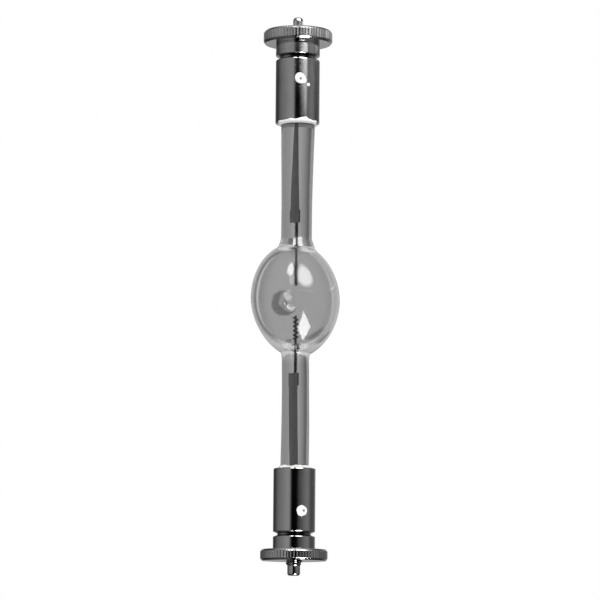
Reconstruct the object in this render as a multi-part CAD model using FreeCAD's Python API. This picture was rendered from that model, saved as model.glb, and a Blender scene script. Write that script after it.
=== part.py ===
import FreeCAD
import Part

import math
import os

# A double-ended discharge lamp, in millimetres.
# The lamp's axis is Z and its light centre, the middle of the arc gap, is the origin.
# The front, where the exhaust tip and the cement holes face, is -Y.
# Each end is built pointing up, and the lower end is then turned half a turn about Y.

# Bulb: blown as two half ellipsoids that meet at its widest, a little off upright.
bulb_diameter = 21.1
bulb_wall = 1.7
bulb_upper_height = 13.6
bulb_lower_height = 13.1
cavity_upper_height = 12.1
cavity_lower_height = 10.9
bulb_lean = 1.8
lean_height = -4.7

# Stems: solid quartz, drawn down a little and then widening towards the ferrule.
stem_straight_share = 0.3
stem_end_chamfer = 0.6
flare_round = 1.0

# Exhaust tip: the nub where the filling tube was melted off.
tip_azimuth = -16.0
tip_elevation = -10.0
tip_height = 1.6
tip_end_diameter = 2.0
tip_base_diameter = 4.6
tip_sink = 1.0
tip_base_round = 0.6
tip_dimple_diameter = 1.6
tip_dimple_depth = 1.2

# Electrodes: a tungsten rod with wire wound on it behind the rounded end.
arc_gap = 6.9
rod_diameter = 0.6
rod_end_round = 0.2
coil_steps = 12
coil_wire_sides = 6
coil_setback = 0.5
coil_clearance = 0.02
channel_clearance = 0.08
channel_mouth_diameter = 2.2
channel_mouth_depth = 0.9

# Seal: a strip of molybdenum foil between the rod and the outer lead.
foil_width = 1.9
foil_thickness = 0.08
foil_past_mouth = 3.2
foil_sections = 9
tab_width = 2.25
tab_length = 3.0
tab_thickness = 0.1
rod_flat_depth = 0.12
rod_on_tab = 2.6
lead_diameter = 1.0
lead_on_foil = 2.4

# Ferrule: turned brass with a groove, a collar and an M4 stud with a plain point.
ferrule_edge = 0.35
ferrule_wall = 0.6
bore_depth = 12.6
collar_length = 2.95
groove_width = 1.15
groove_root_width = 0.35
groove_depth = 1.0
stem_in_ferrule = 8.0
stud_diameter = 3.9
thread_length = 3.65
point_cone = 0.45
point_chamfer = 0.5
cement_hole_diameter = 2.7
solder_gap = 0.25
solder_depth = 2.6

# Cement: it fills the ferrule round the stem and shows at the mouth and in the hole.
bead_over_mouth = 0.2
bead_height = 0.55
bead_edge_height = 0.12
plug_recess = 0.12
plug_dimple_diameter = 0.8
plug_dimple_depth = 0.3

# Nut: a flat knurled disc on the stud.
nut_bore_clearance = 0.05
nut_bore_chamfer = 0.35
nut_rim_chamfer = 0.4
nut_rim_chamfer_height = 0.5
knurl_count = 62
knurl_depth = 0.25
knurl_groove_share = 0.64

# Mercury bead lying on the lower wall of the bulb.
mercury_diameter = 1.3
mercury_wall_radius = 2.0
mercury_azimuth = -75.0
mercury_clearance = 0.02

bulb_radius = bulb_diameter / 2
cavity_radius = bulb_radius - bulb_wall
rod_radius = rod_diameter / 2
lead_radius = lead_diameter / 2
stud_radius = stud_diameter / 2
reach = 200.0

# Each end's own values: the upper cap and stem are a little larger than the lower.
# Azimuths turn from the front (-Y) towards +X, in the finished lamp.
ENDS = {
    "upper": {
        "side": 1,
        "seat": 61.7,
        "ferrule_diameter": 10.5,
        "ferrule_length": 19.35,
        "point_diameter": 2.4,
        "point_length": 2.85,
        "nut_diameter": 16.4,
        "nut_thickness": 3.05,
        "hole_from_mouth": 10.25,
        "hole_azimuth": 6.5,
        "neck_diameter": 7.3,
        "stem_end_diameter": 8.0,
        "flare_diameter": 9.1,
        "flare_length": 2.3,
        "foil_start": 18.5,
        "foil_normal_azimuth": -45.0,
        "foil_twist": -30.0,
        "coil_wire_diameter": 0.22,
        "coil_pitch": 0.5,
        "coil_turns": 9,
    },
    "lower": {
        "side": -1,
        "seat": 58.7,
        "ferrule_diameter": 9.9,
        "ferrule_length": 18.95,
        "point_diameter": 3.0,
        "point_length": 2.5,
        "nut_diameter": 15.8,
        "nut_thickness": 2.7,
        "hole_from_mouth": 10.15,
        "hole_azimuth": 21.5,
        "neck_diameter": 6.5,
        "stem_end_diameter": 6.7,
        "flare_diameter": 10.4,
        "flare_length": 1.6,
        "foil_start": 17.3,
        "foil_normal_azimuth": -45.0,
        "foil_twist": -3.0,
        "coil_wire_diameter": 0.38,
        "coil_pitch": 1.1,
        "coil_turns": 5,
    },
}


def point(radius, height):
    """A point of a turned profile, in the XZ plane."""
    return FreeCAD.Vector(radius, 0, height)


def line(start, end):
    return Part.LineSegment(start, end).toShape()


def arc(start, middle, end):
    return Part.Arc(start, middle, end).toShape()


def ellipse_height(radius, full_radius, full_height):
    """How far from the equator an ellipse has a given radius."""
    return full_height * math.sqrt(1 - (radius / full_radius) ** 2)


def turned(edges):
    """A solid turned about Z from the edges of a closed profile."""
    face = Part.Face(Part.Wire(Part.__sortEdges__(edges)))
    solid = face.revolve(FreeCAD.Vector(0, 0, 0), FreeCAD.Vector(0, 0, 1), 360)
    if solid.Volume < 0:
        solid.reverse()
    return solid


def turned_outline(points):
    """A solid turned about Z from the corners of a closed profile."""
    corners = [point(*p) for p in points]
    return turned([line(a, b) for a, b in zip(corners, corners[1:] + corners[:1])])


def cylinder(radius, low, high):
    return Part.makeCylinder(radius, high - low, FreeCAD.Vector(0, 0, low))


def front_direction(azimuth, elevation=0.0):
    """The way out from the axis at an azimuth from the front and an elevation."""
    a, e = math.radians(azimuth), math.radians(elevation)
    return FreeCAD.Vector(
        math.sin(a) * math.cos(e), -math.cos(a) * math.cos(e), math.sin(e)
    )


def placed(shape, side):
    """An end's shape in the lamp's frame. The lower end is turned half a turn about Y."""
    if side > 0:
        return shape
    turned_over = shape.copy()
    turned_over.rotate(FreeCAD.Vector(0, 0, 0), FreeCAD.Vector(0, 1, 0), 180)
    return turned_over


def barrel_radius(end):
    return end["ferrule_diameter"] / 2


def bore_radius(end):
    return barrel_radius(end) - ferrule_wall


def mouth_height(end):
    return end["seat"] - end["ferrule_length"]


def stem_end_height(end):
    return mouth_height(end) + stem_in_ferrule


def hole_height(end):
    return mouth_height(end) + end["hole_from_mouth"]


def foil_end_height(end):
    return mouth_height(end) + foil_past_mouth


def circle_edges_near(shape, radius, height):
    """The round edges of a turned shape at a radius and height."""
    rounds = [e for e in shape.Edges if not e.Degenerated and e.Curve.TypeId == "Part::GeomCircle"]
    return [
        e
        for e in rounds
        if abs(e.Curve.Radius - radius) < 1e-4
        and abs(e.Curve.Center.z - height) < 1e-4
    ]


# Quartz envelope


def half_ellipsoid(radius, height):
    """Half an ellipsoid about the origin, above it or, at a negative height, below it."""
    centre = point(0, 0)
    wide = point(radius, 0)
    tall = point(0, abs(height))
    if abs(height) > radius:
        ellipse = Part.Ellipse(tall, wide, centre)
        quarter = Part.ArcOfEllipse(ellipse, 0, math.pi / 2).toShape()
    else:
        ellipse = Part.Ellipse(wide, tall, centre)
        quarter = Part.ArcOfEllipse(ellipse, 0, math.pi / 2).toShape()
    solid = turned([quarter, line(tall, centre), line(centre, wide)])
    if height < 0:
        solid.rotate(centre, FreeCAD.Vector(1, 0, 0), 180)
    return solid


def leaning(shape):
    """A shape turned with the bulb's lean, its top towards -X."""
    turned_shape = shape.copy()
    turned_shape.rotate(point(0, lean_height), FreeCAD.Vector(0, 1, 0), -bulb_lean)
    return turned_shape


def bulb_solid():
    """The bulb with its exhaust tip and no hollow in it."""
    upper = half_ellipsoid(bulb_radius, bulb_upper_height)
    lower = half_ellipsoid(bulb_radius, -bulb_lower_height)
    body = upper.fuse([lower, exhaust_tip()])
    return leaning(body.makeFillet(tip_base_round, tip_foot_edges(body)))


def bulb_cavity():
    """The space inside the bulb, with the closed end of the filling tube's bore."""
    upper = half_ellipsoid(cavity_radius, cavity_upper_height)
    lower = half_ellipsoid(cavity_radius, -cavity_lower_height)
    return leaning(upper.fuse([lower, tip_dimple()]))


def stem(end, bulb_height):
    """A stem with its flare, from inside the bulb wall to its end in the ferrule."""
    neck = end["neck_diameter"] / 2
    wide = end["stem_end_diameter"] / 2
    flare = end["flare_diameter"] / 2
    flare_foot = ellipse_height(flare, bulb_radius, bulb_height)
    neck_foot = flare_foot + end["flare_length"]
    mouth = mouth_height(end)
    straight_end = neck_foot + (mouth - neck_foot) * stem_straight_share
    top = stem_end_height(end)
    body = turned_outline(
        [
            (0, 0),
            (flare, 0),
            (flare, flare_foot),
            (neck, neck_foot),
            (neck, straight_end),
            (wide, mouth),
            (wide, top - stem_end_chamfer),
            (wide - stem_end_chamfer, top),
            (0, top),
        ]
    )
    body = body.makeFillet(flare_round, circle_edges_near(body, neck, neck_foot))
    return placed(body, end["side"])


def aimed_at_tip(shape):
    """A shape built along Z, turned to point the way the exhaust tip does."""
    way = front_direction(tip_azimuth, tip_elevation)
    turn = FreeCAD.Rotation(FreeCAD.Vector(0, 0, 1), way)
    turned_shape = shape.copy()
    turned_shape.Placement = FreeCAD.Placement(FreeCAD.Vector(0, 0, 0), turn)
    return turned_shape


def exhaust_tip():
    """The melted-off nub, from inside the bulb wall to its rounded end."""
    low = bulb_radius - tip_sink
    high = bulb_radius + tip_height
    base, end = tip_base_diameter / 2, tip_end_diameter / 2
    shoulder = high - end
    slant = end * math.sqrt(0.5)
    nub = turned(
        [
            line(point(0, low), point(base, low)),
            line(point(base, low), point(end, shoulder)),
            arc(
                point(end, shoulder),
                point(slant, shoulder + slant),
                point(0, high),
            ),
            line(point(0, high), point(0, low)),
        ]
    )
    return aimed_at_tip(nub)


def tip_dimple():
    """The closed end of the filling tube's bore, inside the nub."""
    low = cavity_radius - tip_sink
    high = cavity_radius + tip_dimple_depth
    return aimed_at_tip(
        turned_outline([(0, low), (tip_dimple_diameter, low), (0, high)])
    )


def tip_foot_edges(shape):
    """The edges where the nub meets the bulb."""
    foot = front_direction(tip_azimuth, tip_elevation) * bulb_radius
    return [
        e
        for e in shape.Edges
        if (e.BoundBox.Center - foot).Length < tip_base_diameter / 2
        and tip_end_diameter < e.BoundBox.DiagonalLength < 2 * tip_base_diameter
    ]


def envelope_outside():
    """The bulb, both stems and the exhaust tip, with no hollow in them."""
    upper = stem(ENDS["upper"], bulb_upper_height)
    lower = stem(ENDS["lower"], bulb_lower_height)
    return bulb_solid().fuse([upper, lower]).removeSplitter()


def rod_channel(end, cavity_height):
    """The bore that the electrode stands in, from its wide mouth in the bulb to the foil."""
    bore = rod_radius + channel_clearance
    mouth = channel_mouth_diameter / 2
    low = cavity_height - channel_mouth_depth
    start = end["foil_start"]
    channel = turned_outline(
        [
            (0, low),
            (mouth, low),
            (bore, cavity_height + channel_mouth_depth),
            (bore, start),
            (0, start),
        ]
    )
    return placed(channel, end["side"])


# Electrode, foil and lead of one end


def foil_frame(end, height):
    """The foil's width and normal directions and its distance from the axis at a height."""
    weld = end["foil_start"] + tab_length
    free_end = foil_end_height(end) - lead_on_foil
    share = min(1.0, max(0.0, (height - weld) / (free_end - weld)))
    azimuth = end["foil_normal_azimuth"] + share * end["foil_twist"]
    normal = front_direction(azimuth * end["side"])
    width = FreeCAD.Vector(-normal.y, normal.x, 0)
    rod_side = rod_radius - rod_flat_depth + tab_thickness
    return width, normal, rod_side * (1 - share)


def strip_section(width, normal, near, far, half_width, height):
    """A strip's rectangular section, square to the axis."""
    middle = FreeCAD.Vector(0, 0, height)
    corners = [
        middle + width * w + normal * n
        for w, n in (
            (-half_width, near),
            (half_width, near),
            (half_width, far),
            (-half_width, far),
        )
    ]
    return Part.makePolygon(corners + corners[:1])


def foil(end):
    """The foil: flat on the weld tab, then twisted along the stem to the lead's flat."""
    weld = end["foil_start"] + tab_length
    last = foil_end_height(end)
    free_end = last - lead_on_foil
    steps = range(foil_sections)
    heights = [weld + (free_end - weld) * i / (foil_sections - 1) for i in steps]
    sections = []
    for height in [end["foil_start"], *heights, last]:
        width, normal, distance = foil_frame(end, height)
        sections.append(
            strip_section(
                width,
                normal,
                distance,
                distance + foil_thickness,
                foil_width / 2,
                height,
            )
        )
    return Part.makeLoft(sections, True, True)


def weld_tab(end):
    """The strip between the rod's flat and the foil."""
    start = end["foil_start"]
    width, normal, distance = foil_frame(end, start)
    section = strip_section(
        width, normal, distance - tab_thickness, distance, tab_width / 2, start
    )
    return Part.Face(section).extrude(FreeCAD.Vector(0, 0, tab_length))


def half_space(end, height_low, height_high, distance, at_height):
    """A block beyond the foil side of a rod, from a distance from the axis outwards."""
    width, normal, _ = foil_frame(end, at_height)
    section = strip_section(
        width, normal, distance, distance + lead_diameter, lead_diameter, height_low
    )
    return Part.Face(section).extrude(FreeCAD.Vector(0, 0, height_high - height_low))


def electrode_rod(end):
    """The tungsten rod, from its rounded end at the arc to its flat on the weld tab."""
    tip = arc_gap / 2
    start = end["foil_start"]
    top = start + rod_on_tab
    flat_end = rod_radius - rod_end_round
    bend = rod_end_round * math.sqrt(0.5)
    body = turned(
        [
            line(point(0, tip), point(flat_end, tip)),
            arc(
                point(flat_end, tip),
                point(flat_end + bend, tip + rod_end_round - bend),
                point(rod_radius, tip + rod_end_round),
            ),
            line(point(rod_radius, tip + rod_end_round), point(rod_radius, top)),
            line(point(rod_radius, top), point(0, top)),
            line(point(0, top), point(0, tip)),
        ]
    )
    flat = half_space(end, start, top, rod_radius - rod_flat_depth, start)
    return body.cut(flat)


def electrode_coil(end):
    """The wire wound on the rod behind its end, as a loft through sections along a helix."""
    wire_radius = end["coil_wire_diameter"] / 2
    radius = rod_radius + coil_clearance + wire_radius
    start = arc_gap / 2 + coil_setback
    sections = []
    for step in range(coil_steps * end["coil_turns"] + 1):
        turn = 2 * math.pi * step / coil_steps
        outward = FreeCAD.Vector(math.cos(turn), math.sin(turn), 0)
        middle = outward * radius
        middle.z = start + end["coil_pitch"] * step / coil_steps
        sections.append(wire_section(middle, outward, wire_radius))
    return Part.makeLoft(sections, True, True)


def wire_section(middle, outward, wire_radius):
    """The coil wire's section, a polygon in the plane through the lamp's axis."""
    corners = []
    for side in range(coil_wire_sides):
        angle = 2 * math.pi * side / coil_wire_sides
        across = outward * math.cos(angle) + FreeCAD.Vector(0, 0, math.sin(angle))
        corners.append(middle + across * wire_radius)
    return Part.makePolygon(corners + corners[:1])


def lead_rod(end):
    """The outer lead, from its half-round end on the foil into the ferrule."""
    low = foil_end_height(end) - lead_on_foil
    high = mouth_height(end) + bore_depth + solder_depth
    rod = cylinder(lead_radius, low, high)
    flat = half_space(end, low, foil_end_height(end), 0, foil_end_height(end))
    return rod.cut(flat)


# Ferrule, solder, cement and nut of one end


def ferrule(end):
    """The turned cap: open barrel, groove, collar and threaded stud with a plain point."""
    seat = end["seat"]
    mouth = mouth_height(end)
    floor = mouth + bore_depth
    groove_high = seat - collar_length
    groove_low = groove_high - groove_width
    flank = (groove_width - groove_root_width) / 2
    barrel = barrel_radius(end)
    bore = bore_radius(end)
    root = barrel - groove_depth
    lead_hole = lead_radius + solder_gap
    tip = seat + thread_length + end["point_length"]
    side = end["point_diameter"] / 2
    outline = [
        (0, floor + solder_depth),
        (lead_hole, floor + solder_depth),
        (lead_hole, floor),
        (bore, floor),
        (bore, mouth),
        (barrel - ferrule_edge, mouth),
        (barrel, mouth + ferrule_edge),
        (barrel, groove_low),
        (root, groove_low + flank),
        (root, groove_high - flank),
        (barrel, groove_high),
        (barrel, seat - ferrule_edge),
        (barrel - ferrule_edge, seat),
        (stud_radius, seat),
        (stud_radius, seat + thread_length - point_cone),
        (side, seat + thread_length),
        (side, tip - point_chamfer),
        (side - point_chamfer, tip),
        (0, tip),
    ]
    return turned_outline(outline).cut(cement_hole(end, reach))


def cement_hole(end, length):
    """The drilled hole through the barrel's front wall, as a cylinder from the axis."""
    way = front_direction(end["hole_azimuth"] * end["side"])
    start = FreeCAD.Vector(0, 0, hole_height(end))
    return Part.makeCylinder(cement_hole_diameter / 2, length, start, way)


def solder(end):
    """The solder round the lead in the ferrule's blind hole."""
    floor = mouth_height(end) + bore_depth
    ring = cylinder(lead_radius + solder_gap, floor, floor + solder_depth)
    return ring.cut(lead_rod(end))


def cement_bead(end):
    """The collar of cement that stands out of the ferrule's mouth."""
    mouth = mouth_height(end)
    edge = bore_radius(end) + bead_over_mouth
    crown = (edge + end["stem_end_diameter"] / 2) / 2
    return turned_outline(
        [
            (0, mouth),
            (edge, mouth),
            (edge, mouth - bead_edge_height),
            (crown, mouth - bead_height),
            (0, mouth - bead_height),
        ]
    )


def cement(end, envelope):
    """The cement in the ferrule, cut to the stem and the lead that it holds."""
    mouth = mouth_height(end)
    plug_face = barrel_radius(end) - plug_recess
    fill = cylinder(bore_radius(end), mouth, mouth + bore_depth)
    within = cylinder(plug_face, mouth, end["seat"])
    plug = cement_hole(end, reach).common(within)
    way = front_direction(end["hole_azimuth"] * end["side"])
    surface = point(0, hole_height(end)) + way * plug_face
    dimple = Part.makeCone(
        0,
        plug_dimple_diameter / 2,
        plug_dimple_depth,
        surface - way * plug_dimple_depth,
        way,
    )
    whole = fill.fuse([plug, cement_bead(end)]).removeSplitter()
    whole = whole.cut([dimple, lead_rod(end)])
    return placed(whole, end["side"]).cut(envelope)


def knurled_outline(crest_radius, root_radius, height):
    """The nut's outline at a height: flat crests with V grooves between them."""
    step = 2 * math.pi / knurl_count
    half_groove = step * knurl_groove_share / 2
    corners = []
    for tooth in range(knurl_count):
        groove = tooth * step
        for angle, radius in (
            (groove - half_groove, crest_radius),
            (groove, root_radius),
            (groove + half_groove, crest_radius),
        ):
            x, y = radius * math.cos(angle), radius * math.sin(angle)
            corners.append(FreeCAD.Vector(x, y, height))
    return Part.makePolygon(corners + corners[:1])


def nut(end):
    """The knurled nut, seated on the ferrule's collar. Its grooves run out on the chamfers."""
    low = end["seat"]
    high = low + end["nut_thickness"]
    rim = end["nut_diameter"] / 2
    root = rim - knurl_depth
    face = rim - nut_rim_chamfer
    face_root = min(root, face)
    outlines = [
        knurled_outline(face, face_root, low),
        knurled_outline(rim, root, low + nut_rim_chamfer_height),
        knurled_outline(rim, root, high - nut_rim_chamfer_height),
        knurled_outline(face, face_root, high),
    ]
    bore = stud_radius + nut_bore_clearance
    hole = turned_outline(
        [
            (0, low),
            (bore + nut_bore_chamfer, low),
            (bore, low + nut_bore_chamfer),
            (bore, high - nut_bore_chamfer),
            (bore + nut_bore_chamfer, high),
            (0, high),
        ]
    )
    return Part.makeLoft(outlines, True, True).cut(hole)


def mercury_bead():
    """A drop of mercury that lies on the bulb's lower wall beside the electrode."""
    wall = -ellipse_height(mercury_wall_radius, cavity_radius, cavity_lower_height)
    slope = (
        (cavity_lower_height / cavity_radius) ** 2 * mercury_wall_radius / abs(wall)
    )
    lift = (mercury_diameter / 2 + mercury_clearance) / math.hypot(slope, 1)
    way = front_direction(mercury_azimuth)
    centre = way * (mercury_wall_radius - slope * lift)
    centre.z = wall + lift
    return leaning(Part.makeSphere(mercury_diameter / 2, centre))


def seal_pieces(end):
    """The pieces that the quartz is shrunk on to, in the lamp's frame."""
    shapes = {
        "electrode_rod": electrode_rod(end),
        "weld_tab": weld_tab(end),
        "foil": foil(end),
        "lead_rod": lead_rod(end),
    }
    return {name: placed(shape, end["side"]) for name, shape in shapes.items()}


def main():
    os.makedirs("parts", exist_ok=True)
    outside = envelope_outside()
    envelope = outside
    hollows = [
        bulb_cavity(),
        rod_channel(ENDS["upper"], cavity_upper_height),
        rod_channel(ENDS["lower"], cavity_lower_height),
    ]
    pieces = {}
    for name, end in ENDS.items():
        seals = seal_pieces(end)
        hollows += seals.values()
        for piece, shape in seals.items():
            pieces[f"{name}_{piece}"] = shape
        pieces[f"{name}_electrode_coil"] = placed(electrode_coil(end), end["side"])
        pieces[f"{name}_ferrule"] = placed(ferrule(end), end["side"])
        pieces[f"{name}_solder"] = placed(solder(end), end["side"])
        pieces[f"{name}_cement"] = cement(end, outside)
        pieces[f"{name}_nut"] = placed(nut(end), end["side"])
    for hollow in hollows:
        envelope = envelope.cut(hollow)
    pieces["quartz_envelope"] = envelope
    pieces["mercury_bead"] = mercury_bead()
    for name, shape in pieces.items():
        shape.exportStep(f"parts/{name}.step")
        print(name, len(shape.Solids), "solid", round(shape.Volume, 2), "mm3", shape.isValid())


main()
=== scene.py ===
import math

import bmesh
import bpy
import numpy as np
from mathutils import Matrix, Vector, noise


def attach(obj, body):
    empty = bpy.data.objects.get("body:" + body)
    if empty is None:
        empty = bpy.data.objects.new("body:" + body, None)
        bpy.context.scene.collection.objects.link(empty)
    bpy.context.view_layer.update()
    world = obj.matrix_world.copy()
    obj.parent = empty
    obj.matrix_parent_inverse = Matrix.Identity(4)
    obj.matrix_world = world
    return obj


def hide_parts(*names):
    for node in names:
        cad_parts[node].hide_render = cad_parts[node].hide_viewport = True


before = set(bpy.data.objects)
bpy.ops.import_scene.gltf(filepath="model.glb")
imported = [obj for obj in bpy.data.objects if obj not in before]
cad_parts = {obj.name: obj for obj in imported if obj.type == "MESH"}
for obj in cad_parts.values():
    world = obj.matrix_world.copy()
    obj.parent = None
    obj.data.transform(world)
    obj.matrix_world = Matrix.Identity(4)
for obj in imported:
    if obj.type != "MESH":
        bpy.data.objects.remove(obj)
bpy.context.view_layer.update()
scene = bpy.context.scene

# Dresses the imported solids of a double-ended discharge lamp.
# The lamp stands upright with its light centre at the origin, in metres.
# The front is -Y. Azimuths turn from the front towards +X, in degrees.
MM = 0.001

# Camera, in the lamp's frame.
CAMERA_DISTANCE = 740 * MM
CAMERA_HEIGHT = -92 * MM
CAMERA_RIGHT = 0.97 * MM
CAMERA_PITCH = 7.1
CAMERA_ROLL = 0.46
CAMERA_LENS = 189.2
CAMERA_SENSOR = 36

# Bulb and cavity. Both lean to the left about a point on the lamp's axis.
BULB_RADIUS = 10.54 * MM
BULB_UPPER_HEIGHT = 13.6 * MM
BULB_LOWER_HEIGHT = 13.6 * MM
BULB_UPPER_SQUARENESS = 2.0
BULB_LOWER_SQUARENESS = 1.8
CAVITY_RADIUS = 8.85 * MM
CAVITY_UPPER_HEIGHT = 12.1 * MM
CAVITY_LOWER_HEIGHT = 10.9 * MM
CAVITY_SQUARENESS = 2.0
BULB_LEAN = 1.9
LEAN_HEIGHT = -4.4 * MM
SMALLEST_CIRCLE = 1 * MM

# Stems, and the channels for the electrodes in them.
NECK_BLEND = 0.5 * MM
NECK_SHARE = 0.3
STEM_IN_FERRULE = 8.0 * MM
BEND_START = 14 * MM
CHANNEL_RADIUS = 0.38 * MM
CHANNEL_MOUTH_RADIUS = 1.1 * MM
CHANNEL_MOUTH_DEPTH = 0.9 * MM
CHANNEL_BLEND = 0.3 * MM

# Waves that drawing leaves along a stem: how fine they are round it, their length and their share.
STEM_WAVES = [(2.2, 16 * MM, 1.0), (5.0, 9 * MM, 0.6)]
STEM_WAVE_DEPTH = 0.035 * MM

# Exhaust tip, and the dimple behind it in the cavity.
TIP_AZIMUTH = -16.0
TIP_ELEVATION = -10.0
TIP_HEIGHT = 1.5 * MM
TIP_END_RADIUS = 1.0 * MM
TIP_END_FLATNESS = 0.6
TIP_BASE_RADIUS = 2.6 * MM
TIP_BASE_BLEND = 0.6 * MM
TIP_START = 8.5 * MM
TIP_DIMPLE_RADIUS = 1.2 * MM
TIP_DIMPLE_DEPTH = 1.0 * MM

# Marks on the tip, in millimetres from its middle: cloudy glass from the melt, and a crescent of
# painted shade between a wide circle and a smaller one that lies to the upper right.
TIP_CLOUD_RADIUS = 2.7
TIP_SHADE_RADIUS = 3.05
TIP_CLEAR_MIDDLE = (1.5, 0.7)
TIP_CLEAR_RADIUS = 2.2

# Rings of vertices over the bulb and its cavity, in millimetres: lowest, highest and step.
BULB_ROWS = (-16.0, 17.0, 0.22)
CAVITY_ROWS = (-12.6, 13.8, 0.16)

# Electrodes.
ROD_RADIUS = 0.32 * MM
COIL_START = 3.95 * MM

# Ferrules.
FERRULE_WALL = 0.6 * MM
FERRULE_EDGE = 0.35 * MM
SEAT_EDGE = 0.08 * MM
BORE_DEPTH = 12.6 * MM
COLLAR_LENGTH = 2.95 * MM
GROOVE_WIDTH = 1.15 * MM
GROOVE_ROOT_WIDTH = 0.35 * MM
GROOVE_DEPTH = 1.0 * MM
GROOVE_BARREL_EDGE = 0.22 * MM
GROOVE_COLLAR_EDGE = 0.15 * MM
STUD_RADIUS = 1.95 * MM
THREAD_LENGTH = 3.65 * MM
THREAD_PITCH = 0.7 * MM
THREAD_DEPTH = 0.3 * MM
THREAD_RUNOUT = 0.3 * MM
THREAD_ROWS = 10

# Painted shade in the grooves: azimuths between which it is strongest, and the depths where it starts and
# is full.
GROOVE_SHADE_FRONT = (-28, 42)
GROOVE_SHADE_DEPTHS = (0.4 * MM, 0.7 * MM)

# Nuts.
NUT_BORE_RADIUS = 2.0 * MM
NUT_BORE_CHAMFER = 0.35 * MM
NUT_CHAMFER = 0.4 * MM
NUT_CHAMFER_HEIGHT = 0.5 * MM
KNURL_COUNT = 62
KNURL_COLUMNS = 20
KNURL_DEPTH = 0.06 * MM
KNURL_HALF_WIDTH = 0.2

# Corners of turned profiles: a small round, and how far beside a round its support point lies.
FINE_EDGE = 0.1 * MM
SUPPORT_GAP = 0.06 * MM

# Cement.
COLLAR_COLUMNS = 360
COLLAR_HEIGHT_INSIDE = 0.8 * MM
SMEAR_THICKNESS = 0.07 * MM
SMEAR_FULL_RUN = 0.25 * MM
DIMPLE_RADIUS = 0.36 * MM

# The two ends. A smear is an azimuth and how many millimetres the cement runs along the barrel there.
ENDS = {
    "upper": {
        "side": 1,
        "seat": 61.7 * MM,
        "ferrule_radius": 5.25 * MM,
        "ferrule_length": 19.35 * MM,
        "point_radius": 1.2 * MM,
        "point_length": 2.85 * MM,
        "point_round": 0.95 * MM,
        "nut_radius": 8.2 * MM,
        "nut_thickness": 3.05 * MM,
        "hole": 52.6 * MM,
        "hole_azimuth": 6.5,
        "neck_radius": 3.65 * MM,
        "stem_end_radius": 4.0 * MM,
        "flare_radius": 4.55 * MM,
        "flare_length": 2.3 * MM,
        "channel_end": 18.5 * MM,
        "stem_bend": 0.18 * MM,
        "coil_wire_radius": 0.11 * MM,
        "coil_pitch": 0.5 * MM,
        "coil_turns": 9,
        "cement_bead": 0.25 * MM,
        "cement_seed": 1.3,
        "smears": [
            (-180, 0.3), (-150, 0.6), (-120, 0.1), (-90, 0), (-68, 0), (-56, 0.3), (-40, 0.3),
            (-26, 0.4), (-17, 0.65), (-8, 0.4), (4, 0.55), (13, 1.0), (24, 1.1), (32, 0.6),
            (44, 0.3), (56, 0.45), (66, 0), (100, 0), (130, 0.5), (155, 0.2), (180, 0.3),
        ],
    },
    "lower": {
        "side": -1,
        "seat": 58.7 * MM,
        "ferrule_radius": 4.95 * MM,
        "ferrule_length": 18.95 * MM,
        "point_radius": 1.5 * MM,
        "point_length": 2.5 * MM,
        "point_round": 0.6 * MM,
        "nut_radius": 7.9 * MM,
        "nut_thickness": 2.7 * MM,
        "hole": 49.9 * MM,
        "hole_azimuth": 21.5,
        "neck_radius": 3.22 * MM,
        "stem_end_radius": 3.35 * MM,
        "flare_radius": 3.4 * MM,
        "flare_length": 0.8 * MM,
        "channel_end": 17.3 * MM,
        "stem_bend": 0.1 * MM,
        "coil_wire_radius": 0.19 * MM,
        "coil_pitch": 1.1 * MM,
        "coil_turns": 5,
        "cement_bead": 0.55 * MM,
        "cement_seed": 4.1,
        "smears": [
            (-180, 0.1), (-150, 0.3), (-120, 0), (95, 0), (110, 0.2), (135, 0), (180, 0.1),
        ],
    },
}

# Glass: the grey of the bulb and of the solid stems, and the heights between which it changes.
BULB_GREY = 0.57
STEM_GREY = 0.33
GREY_CHANGE = (10.5 * MM, 15.0 * MM)
MELT_ROUGHNESS = 0.32

# Light that has met more surfaces than this is taken as caught in the glass, and ends at a level.
TRAPPED_AFTER = 4.5
TRAPPED_LEVEL = 0.9

# Blender's noise lies mostly between these two values.
NOISE_LOW = 0.3
NOISE_HIGH = 0.7

# Brightness of the studio that metal and glass reflect, by azimuth.
ROOM = [
    (-180, 0.4), (-160, 0.35), (-150, 0.1), (-136, 0.05), (-122, 0.06), (-108, 0.13),
    (-92, 0.21), (-60, 0.29), (-36, 0.37), (-24, 0.36), (-19, 0.28), (-13, 0.08),
    (-8, 0.003), (17, 0.003), (24, 0.03), (31, 0.08), (45, 0.13), (60, 0.2),
    (80, 0.26), (92, 0.22), (104, 0.12), (118, 0.1), (140, 0.12), (152, 0.3), (180, 0.4),
]
ROOM_DIMMING = [(-60, 0.3), (-25, 0.5), (-12, 1), (40, 1), (60, 0.7)]
CEILING = 0.6
CEILING_HEIGHTS = (45, 75)

# How far the walls are turned, by elevation: the lower ferrule reflects the lower part of them.
ROOM_TURN = [(4, 5), (10, 0)]

# The same walls at the elevations that the upper nut's rim reflects.
RIM_ROOM = [
    (-180, 0.4), (-140, 0.3), (-110, 0.27), (-84, 0.45), (-60, 0.68), (-43, 0.42), (-28, 0.22),
    (-10, 0.18), (17, 0.18), (28, 0.33), (54, 0.33), (70, 0.47), (90, 0.45), (102, 0.6),
    (110, 1.8), (122, 1.8), (132, 0.5), (180, 0.4),
]
RIM_HEIGHTS = (15.4, 17.2)

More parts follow.
